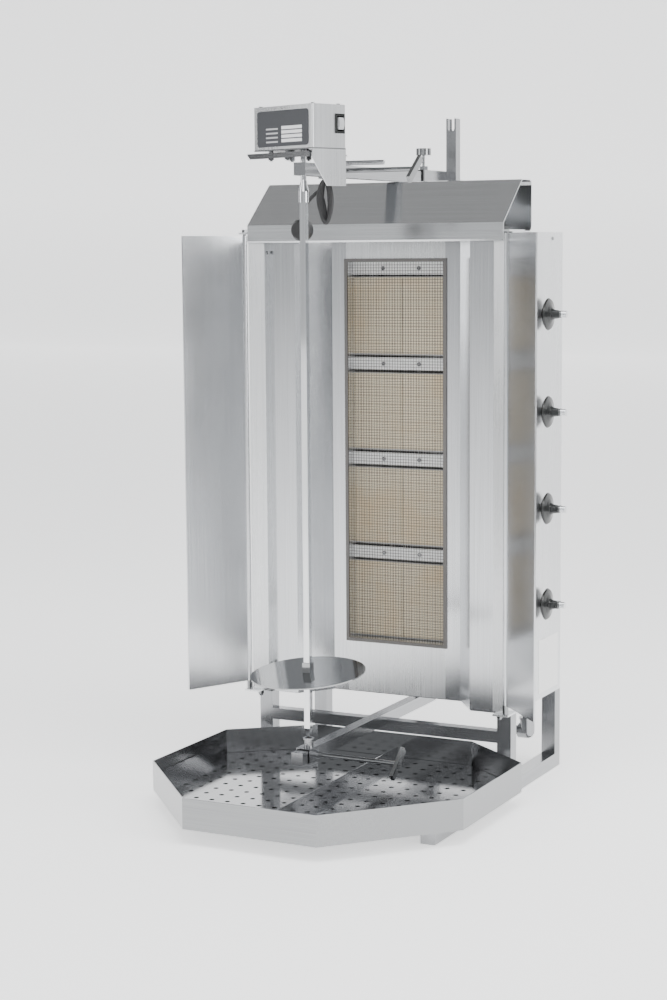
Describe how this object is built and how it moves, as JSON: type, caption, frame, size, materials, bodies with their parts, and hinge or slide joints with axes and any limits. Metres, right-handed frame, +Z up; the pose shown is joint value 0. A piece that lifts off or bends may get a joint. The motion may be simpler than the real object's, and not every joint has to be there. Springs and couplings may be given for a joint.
{
  "type": "vertical rotisserie broiler",
  "caption": "Freestanding upright gas broiler with stacked infrared burners, hinged wings, a motor-driven spit on sliding arms and a pull-out drip tray",
  "frame": {"origin": "on the floor, midway between the side rails and midway along them", "axes": "+Z up, -Y towards the spit and tray, +X towards the gas knobs"},
  "size_m": [0.6328, 0.766, 1.15],
  "materials": {
    "brushed_steel": "brushed stainless sheet and tube",
    "polished": "polished",
    "ceramic": "unglazed honeycomb plaque",
    "brass": "machined",
    "gas_steel": "satin",
    "black_plastic": "moulded",
    "cast_grey": "cast",
    "label": "satin, blank",
    "pale_label": "satin, blank",
    "cord": "matte"
  },
  "bodies": {
    "stand": {"side_rails": "brushed_steel", "legs": "brushed_steel", "cross_rails": "brushed_steel", "bottom_arm": "brushed_steel", "arm_supports": "brushed_steel", "casing_wrap": "brushed_steel", "casing_lids": "brushed_steel", "hood": "brushed_steel", "reflectors": "brushed_steel", "window_panels": "brushed_steel", "recess_liner": "brushed_steel", "hinge_mounts": "brushed_steel", "hinge_pins": "polished", "top_tube": "brushed_steel", "tube_insert": "black_plastic", "mast": "brushed_steel", "screws": "polished", "burner_bodies": "brushed_steel", "burner_plaques": "ceramic", "burner_strips": "brushed_steel", "guard": "brushed_steel", "gas_manifold": "gas_steel", "gas_inlet": "brushed_steel", "valve_bodies": "brass", "knob_bezels": "black_plastic", "side_label": "pale_label"},
    "motor_carriage": {"top_arm": "brushed_steel", "shelf_bracket": "brushed_steel", "heat_shield": "brushed_steel", "motor_cover": "brushed_steel", "motor_base": "brushed_steel", "gearmotor": "cast_grey", "label_plate": "label", "switch_housing": "black_plastic", "motor_fasteners": "polished", "cord_gland": "black_plastic", "cord_runs": "cord", "cord_hank": "cord", "cord_plug": "cord"},
    "rocker": {"rocker": "black_plastic"},
    "top_clamp": {"top_clamp": "polished"},
    "spit": {"spit_bar": "polished", "meat_disc": "polished", "spit_coupling": "polished"},
    "foot_carriage": {"bottom_sleeve": "brushed_steel"},
    "bottom_clamp": {"bottom_clamp": "polished"},
    "thumb_screw": {"thumb_screw": "polished"},
    "left_wing": {"left_wing": "brushed_steel"},
    "right_wing": {"right_wing": "brushed_steel"},
    "tray": {"tray": "brushed_steel"},
    "left_plate": {"left_plate": "brushed_steel"},
    "right_plate": {"right_plate": "brushed_steel"},
    "spindle_1": {"spindle_1": "polished"},
    "knob_1": {"knob_1": "black_plastic"},
    "spindle_2": {"spindle_2": "polished"},
    "knob_2": {"knob_2": "black_plastic"},
    "spindle_3": {"spindle_3": "polished"},
    "knob_3": {"knob_3": "black_plastic"},
    "spindle_4": {"spindle_4": "polished"},
    "knob_4": {"knob_4": "black_plastic"}
  },
  "joints": [
    {"name": "carriage_slide", "type": "slide", "parent": "stand", "child": "motor_carriage", "axis": [0, 1, 0], "range_m": [-0.012, 0.12]},
    {"name": "foot_slide", "type": "slide", "parent": "stand", "child": "foot_carriage", "axis": [0, 1, 0], "range_m": [-0.012, 0.12]},
    {"name": "spit_spin", "type": "hinge", "parent": "motor_carriage", "child": "spit", "pos_m": [0, -0.237, 1.04], "axis": [0, 0, 1], "continuous": true},
    {"name": "top_clamp_turn", "type": "hinge", "parent": "motor_carriage", "child": "top_clamp", "pos_m": [0.022, -0.142, 1.0445], "axis": [1, 0, 0], "range_deg": [-180, 180]},
    {"name": "bottom_clamp_turn", "type": "hinge", "parent": "foot_carriage", "child": "bottom_clamp", "pos_m": [0.022, -0.237, 0.112], "axis": [1, 0, 0], "range_deg": [-180, 180]},
    {"name": "thumb_turn", "type": "hinge", "parent": "stand", "child": "thumb_screw", "pos_m": [0, 0.222, 1.06], "axis": [0, 0, 1], "range_deg": [-360, 360]},
    {"name": "left_wing_swing", "type": "hinge", "parent": "stand", "child": "left_wing", "pos_m": [-0.243, 0.008, 0.55], "axis": [0, 0, 1], "range_deg": [-80, 24]},
    {"name": "right_wing_swing", "type": "hinge", "parent": "stand", "child": "right_wing", "pos_m": [0.243, 0.008, 0.55], "axis": [0, 0, 1], "range_deg": [-41, 64]},
    {"name": "tray_slide", "type": "slide", "parent": "stand", "child": "tray", "axis": [0, -1, 0], "range_m": [0, 0.3]},
    {"name": "left_plate_lift", "type": "slide", "parent": "tray", "child": "left_plate", "axis": [0, 0, 1], "range_m": [0, 0.035]},
    {"name": "right_plate_lift", "type": "slide", "parent": "tray", "child": "right_plate", "axis": [0, 0, 1], "range_m": [0, 0.035]},
    {"name": "rocker_tilt", "type": "hinge", "parent": "motor_carriage", "child": "rocker", "pos_m": [0.05385, -0.23625, 1.112], "axis": [0.3584, 0.9336, 0], "range_deg": [-8, 8]},
    {"name": "valve_1_turn", "type": "hinge", "parent": "stand", "child": "spindle_1", "pos_m": [0.24, 0.181, 0.808], "axis": [1, 0, 0], "range_deg": [0, 180]},
    {"name": "valve_1_push", "type": "slide", "parent": "spindle_1", "child": "knob_1", "axis": [-1, 0, 0], "range_m": [0, 0.003], "stiffness_N_per_m": 900},
    {"name": "valve_2_turn", "type": "hinge", "parent": "stand", "child": "spindle_2", "pos_m": [0.24, 0.181, 0.6413], "axis": [1, 0, 0], "range_deg": [0, 180]},
    {"name": "valve_2_push", "type": "slide", "parent": "spindle_2", "child": "knob_2", "axis": [-1, 0, 0], "range_m": [0, 0.003], "stiffness_N_per_m": 900},
    {"name": "valve_3_turn", "type": "hinge", "parent": "stand", "child": "spindle_3", "pos_m": [0.24, 0.181, 0.4746], "axis": [1, 0, 0], "range_deg": [0, 180]},
    {"name": "valve_3_push", "type": "slide", "parent": "spindle_3", "child": "knob_3", "axis": [-1, 0, 0], "range_m": [0, 0.003], "stiffness_N_per_m": 900},
    {"name": "valve_4_turn", "type": "hinge", "parent": "stand", "child": "spindle_4", "pos_m": [0.24, 0.181, 0.3079], "axis": [1, 0, 0], "range_deg": [0, 180]},
    {"name": "valve_4_push", "type": "slide", "parent": "spindle_4", "child": "knob_4", "axis": [-1, 0, 0], "range_m": [0, 0.003], "stiffness_N_per_m": 900}
  ],
  "couplings": [
    {"joint": "foot_slide", "follows": "carriage_slide", "ratio": 1}
  ]
}
